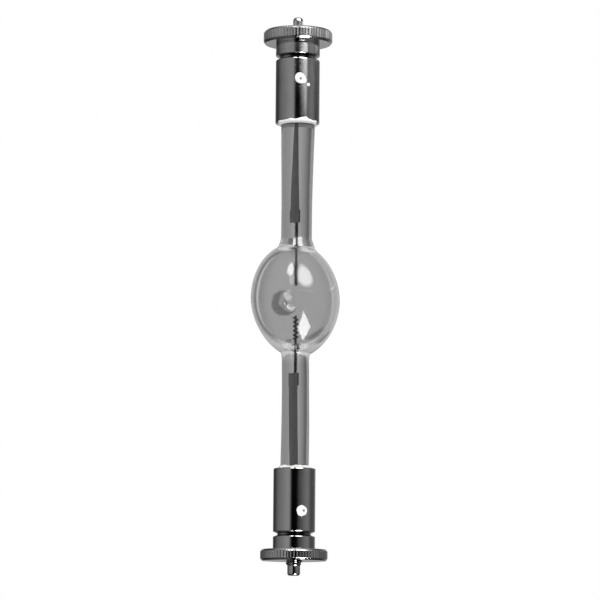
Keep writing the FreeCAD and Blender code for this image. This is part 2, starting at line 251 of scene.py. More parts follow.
# A lit strip of wall on the right that the upper ferrule reflects, by elevation: its brightness, and
# the azimuths where it starts and where it is full. It fades out before the last azimuth.
STRIP = [
    (11.5, 0), (12.8, 0.27), (13.1, 0.36), (13.8, 1.05), (14.65, 0.9), (14.86, 0.9), (14.94, 3.2),
    (15.2, 3.6), (15.34, 0),
]
STRIP_START = [(13.1, 22), (13.8, 9), (14.86, 9), (14.94, 4)]
STRIP_FULL = [(14.86, 43), (14.94, 30)]
STRIP_END = 57
STRIP_FADE = 12

# Soft lights that metal and glass reflect: their middle, their reach in degrees and their level.
SOFT_LIGHTS = [
    {"middle": (31, 36), "down": 18, "up": 30, "across": 29, "level": 13},
    {"middle": (-15, 49), "down": 13, "up": 20, "across": 15, "level": 15},
    {"middle": (-9, 34), "down": 14, "up": 14, "across": 10, "level": 4},
]

# Corners of a white card that lies low in front of the lamp, in metres, its level, and how many
# degrees below the horizon it begins.
LOW_CARD = [(0.271, -0.705), (0.261, -0.169), (0.077, -0.044), (0.016, -0.226)]
LOW_CARD_LEVEL = 16
LOW_CARD_DIP = 8

# Brightness behind the lamp that shows through the glass, by azimuth, and two dark places in it,
# whose level is the share of the light that they take away.
BEHIND = [
    (-180, 1), (-173, 1), (-158, 0.6), (-149, 0.33), (-142, 0.36), (-134, 0.95),
    (120, 1), (140, 0.72), (160, 0.78), (174, 1), (180, 1),
]
BEHIND_HEIGHTS = (-40, 60)
DARK_PLACES = [
    {"middle": (158, -26), "down": 12, "up": 12, "across": 14, "level": 0.3},
    {"middle": (167, -12), "down": 16, "up": 11, "across": 10, "level": 0.6},
]

# The studio's domes: radius, flat underside, and rows, close together where the upper cap reflects
# them. A row is its lowest and highest elevation and a count.
DOME_RADIUS = 1.0
DOME_LOW = -0.29
DOME_COLUMNS = 240
DOME_ROWS = [(-89.5, 11.5, 69), (11.7, 16.9, 53), (17.5, 89.5, 49)]

# Floor with a glow of its own, the light that matt surfaces get from all round, and the lights' distance.
FLOOR_HEIGHT = -0.3
FLOOR_SIZE = 6.0
FLOOR_GLOW = 0.45
WORLD_LEVEL = 0.6
LIGHT_DISTANCE = 0.8

# Slots of the CAD nodes that stay, by the end of the node's name.
KEPT_NODES = {
    "electrode_rod": "tungsten",
    "weld_tab": "molybdenum",
    "foil": "molybdenum",
    "lead_rod": "molybdenum",
    "solder": "solder",
    "mercury_bead": "mercury",
}


# Number helpers


def smooth(share):
    """A share from 0 to 1 that starts and ends gently."""
    share = np.clip(share, 0, 1)
    return share * share * (3 - 2 * share)


def above(value, limit, edge):
    """One above a limit and zero below it, with a soft edge."""
    return smooth((value - limit) / edge + 0.5)


def below(value, limit, edge):
    return above(-value, -limit, edge)


def between(value, low, high, edge):
    """One between two limits, with soft edges."""
    return above(value, low, edge) * below(value, high, edge)


def at(place, table):
    """A table's value at a place. The table is a list of (place, value)."""
    return np.interp(place, [row[0] for row in table], [row[1] for row in table])


def smooth_max(a, b, blend):
    """The larger of two values, with a rounded change between them."""
    h = np.clip(0.5 + 0.5 * (a - b) / blend, 0, 1)
    return b * (1 - h) + a * h + blend * h * (1 - h)


def direction(azimuth, elevation=0.0):
    """The way out from the lamp at an azimuth from the front and an elevation."""
    a, e = math.radians(azimuth), math.radians(elevation)
    return Vector((math.sin(a) * math.cos(e), -math.cos(a) * math.cos(e), math.sin(e)))


def mouth_height(end):
    """How far a ferrule's mouth is from the light centre."""
    return end["seat"] - end["ferrule_length"]


def end_at(height):
    return ENDS["upper"] if height > 0 else ENDS["lower"]


def mirrored(points, side):
    """Points of an upper end turned half a turn about Y for the lower end."""
    if side > 0:
        return points
    return [(-x, y, -z) for x, y, z in points]


# Mesh helpers


def mesh_object(name, vertices, faces, sharp_angle=None):
    """A smooth-shaded object, with edges sharper than an angle kept sharp."""
    mesh = bpy.data.meshes.new(name)
    mesh.from_pydata([tuple(v) for v in vertices], [], faces)
    mesh.validate()
    bm = bmesh.new()
    bm.from_mesh(mesh)
    bmesh.ops.recalc_face_normals(bm, faces=bm.faces)
    for face in bm.faces:
        face.smooth = True
    if sharp_angle is not None:
        limit = math.radians(sharp_angle)
        for edge in bm.edges:
            edge.smooth = not edge.is_manifold or edge.calc_face_angle() < limit
    bm.to_mesh(mesh)
    bm.free()
    item = bpy.data.objects.new(name, mesh)
    scene.collection.objects.link(item)
    return item


def store(item, name, amounts):
    """Keeps one number for each vertex, which the material reads by its name."""
    attribute = item.data.attributes.new(name, "FLOAT", "POINT")
    attribute.data.foreach_set("value", amounts)


def grid_faces(rows, columns, start=0):
    """Quads between rings of vertices, each ring closed."""
    faces = []
    for row in range(rows - 1):
        for column in range(columns):
            after = (column + 1) % columns
            a = start + row * columns
            b = a + columns
            faces.append((a + column, a + after, b + after, b + column))
    return faces


def ring_surface(rings, start=0, closed=False):
    """Vertices and faces of a tube of rings, with both ends capped or joined in a loop."""
    rows, columns = len(rings), len(rings[0])
    vertices = [v for ring in rings for v in ring]
    faces = grid_faces(rows, columns, start)
    if closed:
        last = start + (rows - 1) * columns
        for column in range(columns):
            after = (column + 1) % columns
            faces.append((last + column, last + after, start + after, start + column))
    else:
        faces.append(tuple(range(start, start + columns)))
        faces.append(tuple(range(start + len(vertices) - columns, start + len(vertices))))
    return vertices, faces


def turned_rings(profile, columns, radius_of):
    """Rings about Z from (radius, height) points, with the radius that a function gives."""
    rings = []
    for radius, height in profile:
        ring = []
        for column in range(columns):
            angle = 2 * math.pi * column / columns
            r = radius_of(radius, height, angle)
            ring.append((r * math.cos(angle), r * math.sin(angle), height))
        rings.append(ring)
    return rings


def rounded(corners, steps):
    """A closed profile with its corners rounded. A corner is a radius, a height and its round."""
    out = []
    places = [Vector(corner[:2]) for corner in corners]
    for i, here in enumerate(places):
        before = places[i - 1] - here
        after = places[(i + 1) % len(places)] - here
        size = corners[i][2]
        if size <= 0:
            out.append(tuple(here))
            continue
        start = here + before.normalized() * min(size, before.length * 0.47)
        end = here + after.normalized() * min(size, after.length * 0.9)
        # A point beside each round keeps the flat next to it flat in the shading.
        if before.length > size + 3 * SUPPORT_GAP:
            out.append(tuple(start + before.normalized() * SUPPORT_GAP))
        for k in range(steps + 1):
            t = k / steps
            out.append(tuple(start.lerp(here, t).lerp(here.lerp(end, t), t)))
        if after.length > size + 3 * SUPPORT_GAP:
            out.append(tuple(end + after.normalized() * SUPPORT_GAP))
    return out


# Node helpers


def grey(level):
    return (level, level, level, 1)


def new_material(name):
    """A material, its node tree and its shader."""
    material = bpy.data.materials.new(name)
    material.use_nodes = True
    tree = material.node_tree
    return material, tree, tree.nodes["Principled BSDF"]


def add_noise(tree, scale, detail, stretch=(1, 1, 1)):
    """Noise in object space, with its scale given per millimetre."""
    place = tree.nodes.new("ShaderNodeTexCoord")
    mapping = tree.nodes.new("ShaderNodeMapping")
    mapping.inputs["Scale"].default_value = [s / MM for s in stretch]
    texture = tree.nodes.new("ShaderNodeTexNoise")
    texture.inputs["Scale"].default_value = scale
    texture.inputs["Detail"].default_value = detail
    tree.links.new(place.outputs["Object"], mapping.inputs["Vector"])
    tree.links.new(mapping.outputs["Vector"], texture.inputs["Vector"])
    return texture.outputs["Fac"]


def add_attribute(tree, name):
    attribute = tree.nodes.new("ShaderNodeAttribute")
    attribute.attribute_name = name
    return attribute.outputs["Fac"]


def add_math(tree, operation, *inputs):
    """A math node's value. Its inputs are outputs of other nodes, or plain numbers."""
    node = tree.nodes.new("ShaderNodeMath")
    node.operation = operation
    for socket, value in zip(node.inputs, inputs):
        if isinstance(value, float):
            socket.default_value = value
        else:
            tree.links.new(value, socket)
    return node.outputs["Value"]


def add_range(tree, source, start, stop, low, high):
    """A value that goes from low to high while its source goes from start to stop."""
    spread = tree.nodes.new("ShaderNodeMapRange")
    spread.inputs["From Min"].default_value = start
    spread.inputs["From Max"].default_value = stop
    spread.inputs["To Min"].default_value = low
    spread.inputs["To Max"].default_value = high
    tree.links.new(source, spread.inputs["Value"])
    return spread.outputs["Result"]


def add_mix(tree, factor, low, high):
    """A mix node between two colours."""
    mix = tree.nodes.new("ShaderNodeMix")
    mix.data_type = "RGBA"
    mix.inputs["A"].default_value = low
    mix.inputs["B"].default_value = high
    tree.links.new(factor, mix.inputs["Factor"])
    return mix


def add_painted_shade_colour(tree, shader, clean, dark):
    """Gives the shader a clean mix's colour, which the attribute of painted shade darkens where it is
    high.
    """
    shaded_mix = add_mix(tree, add_attribute(tree, "painted_shade"), grey(1), grey(dark))
    tree.links.new(clean.outputs["Result"], shaded_mix.inputs["A"])
    tree.links.new(shaded_mix.outputs["Result"], shader.inputs["Base Color"])


def add_bump(tree, shader, height, strength, distance):
    bump = tree.nodes.new("ShaderNodeBump")
    bump.inputs["Strength"].default_value = strength
    bump.inputs["Distance"].default_value = distance
    tree.links.new(height, bump.inputs["Height"])
    tree.links.new(bump.outputs["Normal"], shader.inputs["Normal"])


def add_mix_shader(tree, factor, first, second):
    mix = tree.nodes.new("ShaderNodeMixShader")
    tree.links.new(factor, mix.inputs["Fac"])
    tree.links.new(first, mix.inputs[1])
    tree.links.new(second, mix.inputs[2])
    return mix.outputs["Shader"]


# Materials


def turned_metal(name, level, roughness):
    """Plated, turned metal: fine rings round the axis and a little uneven polish."""
    material, tree, shader = new_material(name)
    shader.inputs["Metallic"].default_value = 1.0
    patches = add_noise(tree, 0.35, 5.0)
    tint = add_mix(tree, patches, grey(level * 0.86), grey(level))
    # Painted shade darkens the roots of the ferrules' grooves.
    add_painted_shade_colour(tree, shader, tint, dark=0.02)
    polish = add_range(tree, patches, NOISE_LOW, NOISE_HIGH, roughness * 0.75, roughness * 1.3)
    tree.links.new(polish, shader.inputs["Roughness"])
    rings = add_noise(tree, 1.0, 2.0, stretch=(0.05, 0.05, 14.0))
    add_bump(tree, shader, rings, strength=0.04, distance=0.02 * MM)
    return material


def quartz():
    """Clear quartz, a little grey: deeper in the solid stems than in the bulb's thin wall."""
    material, tree, shader = new_material("quartz")
    shader.inputs["Transmission Weight"].default_value = 1.0
    shader.inputs["IOR"].default_value = 1.46
    place = tree.nodes.new("ShaderNodeTexCoord")
    parts = tree.nodes.new("ShaderNodeSeparateXYZ")
    tree.links.new(place.outputs["Object"], parts.inputs["Vector"])
    height = add_math(tree, "ABSOLUTE", parts.outputs["Z"])
    solid = add_range(tree, height, *GREY_CHANGE, 0, 1)
    tint = add_mix(tree, solid, grey(BULB_GREY), grey(STEM_GREY))
    # Painted shade darkens a crescent on the exhaust tip.
    add_painted_shade_colour(tree, shader, tint, dark=0.15)
    wrinkled = add_math(tree, "MULTIPLY", add_attribute(tree, "melt"), MELT_ROUGHNESS)
    tree.links.new(wrinkled, shader.inputs["Roughness"])

    # Shadow rays go through, so that the lights reach the pieces inside.
    path = tree.nodes.new("ShaderNodeLightPath")
    lets_light_in = tree.nodes.new("ShaderNodeBsdfTransparent")
    lets_light_in.inputs["Color"].default_value = grey(0.7)
    glass = add_mix_shader(
        tree, path.outputs["Is Shadow Ray"], shader.outputs["BSDF"], lets_light_in.outputs["BSDF"]
    )

    # Light that is caught in the stems comes out again somewhere, and isn't followed: there the glass
    # glows at a fixed level, painted light.
    trapped = add_math(tree, "GREATER_THAN", path.outputs["Ray Depth"], TRAPPED_AFTER)
    painted_glow = tree.nodes.new("ShaderNodeEmission")
    painted_glow.inputs["Strength"].default_value = TRAPPED_LEVEL
    surface = add_mix_shader(tree, trapped, glass, painted_glow.outputs["Emission"])
    tree.links.new(surface, tree.nodes["Material Output"].inputs["Surface"])
    material.cycles.emission_sampling = "NONE"
    return material


def cement_material():
    """Dry, matt cement with a fine grain."""
    material, tree, shader = new_material("cement")
    shader.inputs["Roughness"].default_value = 0.9
    grain = add_noise(tree, 2.2, 6.0)
    spread = add_range(tree, grain, NOISE_LOW, NOISE_HIGH, 0, 1)
    tint = add_mix(tree, spread, (0.78, 0.78, 0.77, 1), (0.95, 0.95, 0.94, 1))
    # Painted shade darkens the dimples of the hole plugs.
    add_painted_shade_colour(tree, shader, tint, dark=0.12)
    add_bump(tree, shader, grain, strength=0.5, distance=0.15 * MM)
    return material


def dull_metal(name, level, roughness, grain, stretch, bump):
    """Unplated inner metal, such as tungsten or molybdenum, with drawn or crinkled grain."""
    material, tree, shader = new_material(name)
    shader.inputs["Metallic"].default_value = 1.0
    shader.inputs["Roughness"].default_value = roughness
    crinkle = add_noise(tree, grain, 4.0, stretch)
    tint = add_mix(tree, crinkle, grey(level * 0.75), grey(level))
    tree.links.new(tint.outputs["Result"], shader.inputs["Base Color"])
    add_bump(tree, shader, crinkle, strength=bump, distance=0.1 * MM)
    return material


MATERIALS = {
    "quartz": quartz(),
    "ferrule_metal": turned_metal("ferrule_metal", level=0.6, roughness=0.085),
    "nut_metal": turned_metal("nut_metal", level=0.62, roughness=0.1),
    "cement": cement_material(),
    "tungsten": dull_metal(
        "tungsten", level=0.14, roughness=0.4, grain=3.0, stretch=(1, 1, 0.2), bump=0.3
    ),
    "molybdenum": dull_metal(
        "molybdenum", level=0.3, roughness=0.38, grain=1.2, stretch=(1, 1, 0.5), bump=0.5
    ),
    "solder": dull_metal(
        "solder", level=0.6, roughness=0.35, grain=2.0, stretch=(1, 1, 1), bump=0.3
    ),
    "mercury": dull_metal(
        "mercury", level=0.75, roughness=0.08, grain=0.5, stretch=(1, 1, 1), bump=0.02
    ),
}


def lamp_piece(item, body, slot, *nodes):
    """Gives a new piece its material and slot, and lets it ride on a body in place of nodes."""
    item.data.materials.clear()
    item.data.materials.append(MATERIALS[slot])
    if nodes:
        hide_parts(*nodes)
    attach(item, body)


# Quartz envelope


def bulb_shape(height):
    """The full height and the squareness of the bulb's upper or lower half."""
    if height > 0:
        return BULB_UPPER_HEIGHT, BULB_UPPER_SQUARENESS
    return BULB_LOWER_HEIGHT, BULB_LOWER_SQUARENESS


def cavity_height(height):
    return CAVITY_UPPER_HEIGHT if height > 0 else CAVITY_LOWER_HEIGHT


def oval_radius(height, angles, radius, full_height, squareness):
    """The distance from the lamp's axis to a leaning oval at a height, or zero past its ends."""
    share = min(abs(height) / full_height, 1.0)
    circle = radius * (1 - share**squareness) ** (1 / squareness)
    if circle < SMALLEST_CIRCLE:
        return np.zeros_like(angles)
    shift = -math.tan(math.radians(BULB_LEAN)) * (height - LEAN_HEIGHT)
    inside = np.maximum(circle**2 - (shift * np.sin(angles)) ** 2, 0)
    return np.maximum(shift * np.cos(angles) + np.sqrt(inside), 0)


def stem_radius(height):
    """The stems' and flares' radius at a height."""
    end = end_at(height)
    bulb_height, _ = bulb_shape(height)
    flare = end["flare_radius"]
    foot = bulb_height * math.sqrt(1 - (flare / BULB_RADIUS) ** 2)
    neck = foot + end["flare_length"]
    mouth = mouth_height(end)
    straight = neck + (mouth - neck) * NECK_SHARE
    heights = [0, foot, neck, straight, mouth, mouth + STEM_IN_FERRULE]
    wide = end["stem_end_radius"]
    radii = [flare, flare, end["neck_radius"], end["neck_radius"], wide, wide]
    span = 0.25 * MM
    samples = [np.interp(abs(height) + k * span, heights, radii) for k in (-2, -1, 0, 1, 2)]
    return float(np.mean(samples))


def stem_shift(height):
    """The stems are drawn a little out of straight."""
    end = end_at(height)
    along = (abs(height) - BEND_START) / (mouth_height(end) - BEND_START)
    if along <= 0:
        return 0.0
    if height > 0:
        return end["stem_bend"] * min(along, 1.1) ** 1.5
    return end["stem_bend"] * math.sin(math.pi * min(along, 1.0))


def stem_waves(height, angles):
    """The height of the drawn waves round a stem."""
    waves = [
        sum(
            share * noise.noise(Vector((fine * math.cos(a), fine * math.sin(a), height / length)))
            for fine, length, share in STEM_WAVES
        )
        for a in angles
    ]
    return np.array(waves) * STEM_WAVE_DEPTH


def tip_rise(distance):
    """The exhaust tip's height over the bulb at a distance from its middle."""
    slope_run = TIP_BASE_RADIUS - TIP_END_RADIUS
    shoulder = TIP_HEIGHT - TIP_END_RADIUS * TIP_END_FLATNESS
    cone = shoulder * (1 - (distance - TIP_END_RADIUS) / slope_run)
    ball = np.sqrt(np.maximum(TIP_END_RADIUS**2 - distance**2, 0))
    rise = np.where(distance < TIP_END_RADIUS, shoulder + TIP_END_FLATNESS * ball, cone)
    return smooth_max(rise, np.zeros_like(rise), TIP_BASE_BLEND)


def envelope_angles(columns):
    """Directions round the axis, closer together near the exhaust tip."""
    tip = direction(TIP_AZIMUTH)
    even = np.linspace(0, 2 * math.pi, columns, endpoint=False)
    return math.atan2(tip.y, tip.x) + even - 0.5 * np.sin(even)


def ring_points(radius, angles, height):
    """A ring's points, and the way out from the axis at each of them."""
    out = np.stack([np.cos(angles), np.sin(angles)], 1)
    return np.column_stack([radius[:, None] * out, np.full_like(angles, height)]), out


def from_tip(points):
    """How far each point lies along the exhaust tip's direction, and how far beside it."""
    tip = np.array(direction(TIP_AZIMUTH, TIP_ELEVATION))
    along = points @ tip
    return along, np.linalg.norm(points - along[:, None] * tip, axis=1)


def outer_rings(columns):
    """The outside of the bulb with its tip, and of both stems."""
    angles = envelope_angles(columns)
    low, high, step = BULB_ROWS
    bottom = -(mouth_height(ENDS["lower"]) + STEM_IN_FERRULE)
    top = mouth_height(ENDS["upper"]) + STEM_IN_FERRULE
    lower_stem = np.linspace(bottom, (low - 0.2) * MM, 36)
    upper_stem = np.linspace(high * MM, top, 40)
    rings = []
    for height in np.concatenate([lower_stem, np.arange(low, high, step) * MM, upper_stem]):
        bulb = oval_radius(height, angles, BULB_RADIUS, *bulb_shape(height))
        stem = stem_radius(height) + stem_waves(height, angles)
        points, out = ring_points(smooth_max(bulb, stem, NECK_BLEND), angles, height)
        along, beside = from_tip(points)
        rise = np.where(along > 0, tip_rise(beside), 0.0) * np.clip((along - TIP_START) / MM, 0, 1)
        points[:, :2] += rise[:, None] * out
        points[:, 0] += stem_shift(height)
        rings.append(points.tolist())
    return rings


def inner_rings(columns):
    """The cavity with the electrodes' channels at both ends."""
    angles = envelope_angles(columns)
    low, high, step = CAVITY_ROWS
    lower_channel = np.linspace(-ENDS["lower"]["channel_end"], (low - 0.2) * MM, 8)
    upper_channel = np.linspace((high + 0.1) * MM, ENDS["upper"]["channel_end"], 8)
    rings = []
    for height in np.concatenate([lower_channel, np.arange(low, high, step) * MM, upper_channel]):
        full = cavity_height(height)
        funnel = [
            (full - CHANNEL_MOUTH_DEPTH, CHANNEL_MOUTH_RADIUS),
            (full + CHANNEL_MOUTH_DEPTH, CHANNEL_RADIUS),
        ]
        wall = oval_radius(height, angles, CAVITY_RADIUS, full, CAVITY_SQUARENESS)
        radius = smooth_max(wall, at(abs(height), funnel), CHANNEL_BLEND)
        points, out = ring_points(radius, angles, height)
        along, beside = from_tip(points)
        pull = TIP_DIMPLE_DEPTH * np.exp(-((beside / TIP_DIMPLE_RADIUS) ** 2))
        points[:, :2] += np.where(along > 0, pull, 0.0)[:, None] * out
        rings.append(points.tolist())
    return rings


def face_cavity(mesh, outer_count):
    """Turns the faces so that the outer wall faces out and the cavity's wall faces in."""
    bm = bmesh.new()
    bm.from_mesh(mesh)
    wrong = []
    for face in bm.faces:
        centre = face.calc_center_median()
        flat = Vector((centre.x, centre.y, 0))
        outward = face.normal.dot(flat) if flat.length > 1e-6 else face.normal.z * centre.z
        if abs(face.normal.z) > 0.999:
            outward = face.normal.z * centre.z
        is_outer = max(v.index for v in face.verts) < outer_count
        if (outward > 0) != is_outer:
            wrong.append(face)
    bmesh.ops.reverse_faces(bm, faces=wrong)
    bm.to_mesh(mesh)
    bm.free()


def mark_tip(item, outer_count):
    """The exhaust tip is melted shut: its glass is a little cloudy, and painted shade darkens one side.
    """
    tip = direction(TIP_AZIMUTH, TIP_ELEVATION)
    right = Vector((0, 0, 1)).cross(tip).normalized()
    up = tip.cross(right)
    clear_x, clear_y = TIP_CLEAR_MIDDLE
    cloudy, dark = [], []
    for vertex in item.data.vertices:
        x, y = vertex.co.dot(right) / MM, vertex.co.dot(up) / MM
        away = math.hypot(x, y) + 0.25 * noise.noise(Vector((x, y, 0.3)) * 0.9)
        inner = math.hypot(x - clear_x, y - clear_y)
        inner += 0.3 * noise.noise(Vector((x, y, 5.3)) * 0.8)
        front = vertex.co.dot(tip) > 0
        cloudy.append(float(below(away, TIP_CLOUD_RADIUS, 0.8)) * front)
        # Painted shade: a dark crescent on one side of the tip.
        crescent = below(away, TIP_SHADE_RADIUS, 0.6) * above(inner, TIP_CLEAR_RADIUS, 1.4)
        dark.append(float(crescent) * front * (vertex.index < outer_count))
    store(item, "melt", cloudy)
    store(item, "painted_shade", dark)


def make_envelope():
    outer, faces = ring_surface(outer_rings(256))
    inner, inner_faces = ring_surface(inner_rings(192), start=len(outer))
    item = mesh_object("quartz_glass", outer + inner, faces + inner_faces)
    face_cavity(item.data, len(outer))
    mark_tip(item, len(outer))
    lamp_piece(item, "lamp", "quartz", "quartz_envelope")


# Ferrules


def ferrule_profile(end):
    """The ferrule's turned profile, with rows of points for the thread."""
    seat, barrel = end["seat"], end["ferrule_radius"]
    mouth = mouth_height(end)
    bore = barrel - FERRULE_WALL
    floor = mouth + BORE_DEPTH
    groove_high = seat - COLLAR_LENGTH
    groove_low = groove_high - GROOVE_WIDTH
    flank = (GROOVE_WIDTH - GROOVE_ROOT_WIDTH) / 2
    root = barrel - GROOVE_DEPTH
    thread_end = seat + THREAD_LENGTH
    tip = thread_end + end["point_length"]
    side = end["point_radius"]
    corners = [
        (0.0, floor, 0),
        (bore, floor, 0),
        (bore, mouth, FINE_EDGE),
        (barrel, mouth, FERRULE_EDGE),
        (barrel, groove_low, GROOVE_BARREL_EDGE),
        (root, groove_low + flank, FINE_EDGE),
        (root, groove_high - flank, FINE_EDGE),
        (barrel, groove_high, GROOVE_COLLAR_EDGE),
        (barrel, seat, SEAT_EDGE),
        (STUD_RADIUS, seat, 0),
    ]
    rows = int(THREAD_LENGTH / THREAD_PITCH * THREAD_ROWS)
    run = THREAD_LENGTH - THREAD_RUNOUT
    corners += [(STUD_RADIUS, seat + run * (k + 1) / rows, 0) for k in range(rows)]
    corners += [
        (side + 0.1 * MM, thread_end, FINE_EDGE),
        (side, thread_end + 0.2 * MM, FINE_EDGE),
        (side, tip, end["point_round"]),
        (0.0, tip, 0),
    ]
    return rounded(corners, 6)


def groove_painted_shade(end, place):
    """How much painted shade the ferrule has at a place: deep in its groove, and mostly at the front."""
    groove = end["seat"] - COLLAR_LENGTH - GROOVE_WIDTH / 2
    if abs(abs(place.z) - groove) >= GROOVE_WIDTH * 0.6:
        return 0.0
    depth = end["ferrule_radius"] - math.hypot(place.x, place.y)
    azimuth = math.degrees(math.atan2(place.x, -place.y))
    shade_by_azimuth = 0.35 + 0.65 * float(between(azimuth, *GROOVE_SHADE_FRONT, 20))
    return shade_by_azimuth * float(np.interp(depth, GROOVE_SHADE_DEPTHS, (0, 1)))


def make_ferrule(name, end):
    """A turned ferrule with its stud, threaded up to the runout."""
    thread_low, thread_high = end["seat"], end["seat"] + THREAD_LENGTH - THREAD_RUNOUT

    def threaded(radius, height, angle):
        if abs(radius - STUD_RADIUS) > 1e-7 or not thread_low < height <= thread_high:
            return radius
        turn = (height / THREAD_PITCH - angle / (2 * math.pi)) % 1.0
        return radius - THREAD_DEPTH * abs(2 * turn - 1)

    rings = turned_rings(ferrule_profile(end), 160, threaded)
    vertices, faces = ring_surface([mirrored(ring, end["side"]) for ring in rings])
    item = mesh_object(f"{name}_ferrule_body", vertices, faces, sharp_angle=32)
    # Painted shade deep in the groove, mostly at the front.
    store(item, "painted_shade", [groove_painted_shade(end, vertex.co) for vertex in item.data.vertices])
    lamp_piece(item, "lamp", "ferrule_metal", f"{name}_ferrule")


# Nuts


def make_nut(name, end):
    """A nut with a chamfered bore and a fine, straight knurl round its rim."""
    low = end["seat"]
    high = low + end["nut_thickness"]
    rim = end["nut_radius"]
    face = rim - NUT_CHAMFER
    corners = [
        (NUT_BORE_RADIUS, low + NUT_BORE_CHAMFER, 0),
        (NUT_BORE_RADIUS + NUT_BORE_CHAMFER, low, 0.06 * MM),
        (face, low, 0.1 * MM),
        (rim, low + NUT_CHAMFER_HEIGHT, 0.12 * MM),
        (rim, high - NUT_CHAMFER_HEIGHT, 0.04 * MM),
        (face, high, 0.04 * MM),
        (NUT_BORE_RADIUS + NUT_BORE_CHAMFER, high, 0.06 * MM),
        (NUT_BORE_RADIUS, high - NUT_BORE_CHAMFER, 0),
    ]

    def knurled(radius, height, angle):
        turn = (angle * KNURL_COUNT / (2 * math.pi)) % 1.0
        groove = max(0.0, 1 - abs(turn - 0.5) / KNURL_HALF_WIDTH)
        return min(radius, rim - KNURL_DEPTH * groove)

    rings = turned_rings(rounded(corners, 3), KNURL_COUNT * KNURL_COLUMNS, knurled)
    vertices, faces = ring_surface([mirrored(ring, end["side"]) for ring in rings], closed=True)
    item = mesh_object(f"{name}_knurled_nut", vertices, faces, sharp_angle=40)
    lamp_piece(item, f"{name}_nut", "nut_metal", f"{name}_nut")


# Cement


def collar_section(end, height, run):
    """The collar's section: a bead of a height at the stem, and a smear that runs up the barrel."""
    mouth, barrel = mouth_height(end), end["ferrule_radius"]
    stem = end["stem_end_radius"] - 0.15 * MM
    bore = barrel - FERRULE_WALL
    over = min(run / SMEAR_FULL_RUN, 1.0)
    foot = bore - 0.1 * MM * (1 - over) + (barrel + SMEAR_THICKNESS - bore) * over
    lip = mouth - 0.05 * MM - SMEAR_THICKNESS * over
    return [
        (stem, mouth + COLLAR_HEIGHT_INSIDE),
        (stem, mouth - height * 1.15),
        (stem + 0.25 * MM, mouth - height * 1.1),
        ((stem + bore) / 2, mouth - height * 0.75),
        (bore - 0.15 * MM, min(mouth - height * 0.25, lip)),
        ((bore + foot) / 2, lip),
        (foot - 0.1 * MM * over, lip + 0.02 * MM * over),
        (foot, lip + 0.16 * MM * over),
        (foot, mouth + run * 0.6),
        (foot - 0.03 * MM * over, mouth + run * 0.95),
        (foot - 0.1 * MM * over, mouth + run),
        (bore - 0.12 * MM, mouth + 0.3 * MM),
    ]


def make_collar(name, end):
    """The cement in the mouth: a thin bead round the stem, smeared over the edge in places."""
    side = end["side"]
    columns = []
    for column in range(COLLAR_COLUMNS):
        angle = 2 * math.pi * column / COLLAR_COLUMNS
        spot = Vector((math.cos(angle), math.sin(angle), end["cement_seed"]))
        wave = noise.noise(spot * 2.4) + 0.6 * noise.noise(spot * 6.0)
        bead = end["cement_bead"] * max(0.5, 1 + 0.3 * wave)
        azimuth = (side * (math.degrees(angle) + 90) + 180) % 360 - 180
        run = float(at(azimuth, end["smears"])) * MM * (1 + 0.25 * wave)
        section = collar_section(end, bead, run)
        columns.append([(r * math.cos(angle), r * math.sin(angle), z) for r, z in section])
    rings = [mirrored(ring, side) for ring in zip(*columns)]
    vertices, faces = ring_surface(rings, closed=True)
    item = mesh_object(f"{name}_cement_collar", vertices, faces)
    lamp_piece(item, "lamp", "cement", f"{name}_cement")


def make_smear(name, end, size, height, seed, across=0, up=0, dimple=(0, 0, 0), tail=(0, 0)):
    """A blob of cement on the barrel, at a distance across and up from the hole.

    A dimple is its depth and its place on the blob, and painted shade darkens it. A tail is its direction
    and its length.
    """
    side, barrel = end["side"], end["ferrule_radius"]
    rows, columns = 16, 72
    hole = math.radians(end["hole_azimuth"])
    vertices, amounts = [], []
    for row in range(rows + 1):
        share = row / rows
        for column in range(columns):
            angle = 2 * math.pi * column / columns
            spot = Vector((math.cos(angle), math.sin(angle), seed))
            edge = size * (1 + 0.09 * noise.noise(spot * 1.7))
            edge += tail[1] * max(0.0, math.cos(angle - math.radians(tail[0]))) ** 6
            u = edge * share * math.cos(angle)
            v = edge * share * math.sin(angle)
            lump = 0.025 * MM * noise.noise(Vector((u, v, seed * MM)) / (0.6 * MM))
            dome = (height + lump) * (1 - share**6) ** 0.5
            pit = math.hypot(u - dimple[1], v - dimple[2]) / DIMPLE_RADIUS
            radius = barrel + dome - dimple[0] * math.exp(-(pit**2))
            if row == rows:
                radius = barrel - 0.05 * MM
            turn = hole + (across + u) / barrel
            height_here = side * end["hole"] + up + v
            vertices.append((radius * math.sin(turn), -radius * math.cos(turn), height_here))
            # Painted shade darkens the dimple.
            amounts.append(math.exp(-((pit * 1.2) ** 4)) if dimple[0] else 0.0)
    item = mesh_object(name, vertices, grid_faces(rows + 1, columns))
    store(item, "painted_shade", amounts)
    return item


def make_hole_cement():
    """The plugs in the ferrules' filling holes, and a fleck that fell beside the upper one."""
    upper, lower = ENDS["upper"], ENDS["lower"]
    pieces = [
        make_smear(
            "upper_hole_plug", upper, size=1.3 * MM, height=0.16 * MM, seed=3.1,
            dimple=(0.15 * MM, 0.1 * MM, -0.2 * MM), tail=(-35, 0.55 * MM),
        ),
        make_smear(
            "upper_cement_fleck", upper, size=0.42 * MM, height=0.08 * MM, seed=7.7,
            across=2.1 * MM, up=-1.5 * MM,
        ),
        make_smear(
            "lower_hole_plug", lower, size=1.33 * MM, height=0.14 * MM, seed=5.2,
            dimple=(0.12 * MM, 0.45 * MM, 0.05 * MM),
        ),
    ]
    for piece in pieces:
        lamp_piece(piece, "lamp", "cement")


# Electrodes


